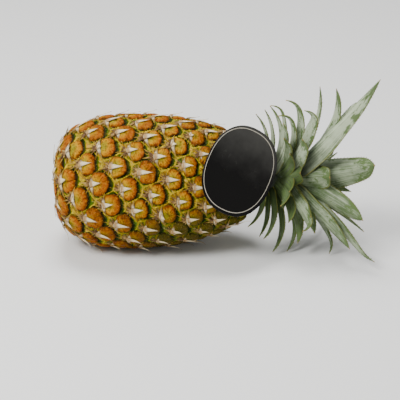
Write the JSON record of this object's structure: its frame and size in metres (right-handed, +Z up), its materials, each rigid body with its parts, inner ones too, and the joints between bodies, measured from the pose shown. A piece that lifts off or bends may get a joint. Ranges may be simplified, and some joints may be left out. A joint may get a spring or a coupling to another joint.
{
  "type": "pineapple",
  "caption": "Whole pineapple lying on its side, with domed eyes under dried bracts, a leafy crown and a blank oval card at its shoulder.",
  "frame": {"origin": "middle of the footprint, on the surface that the fruit lies on", "axes": "+X along the fruit from the cut stalk to the crown, +Z up, the pictured side faces -Y"},
  "size_m": [0.2978, 0.1416, 0.1809],
  "materials": {
    "rind": "waxy golden orange rind with yellow-green seams and dried papery bracts",
    "cut_stalk": "dry fibrous cut end",
    "leaves": "green leaves under a chalky silver bloom",
    "card": "glossy black laminated card with a thin pale line inside its edge"
  },
  "bodies": {
    "root": {"fruit": "rind", "stalk": "cut_stalk", "crown": "leaves", "label_card": "card"}
  },
  "joints": []
}
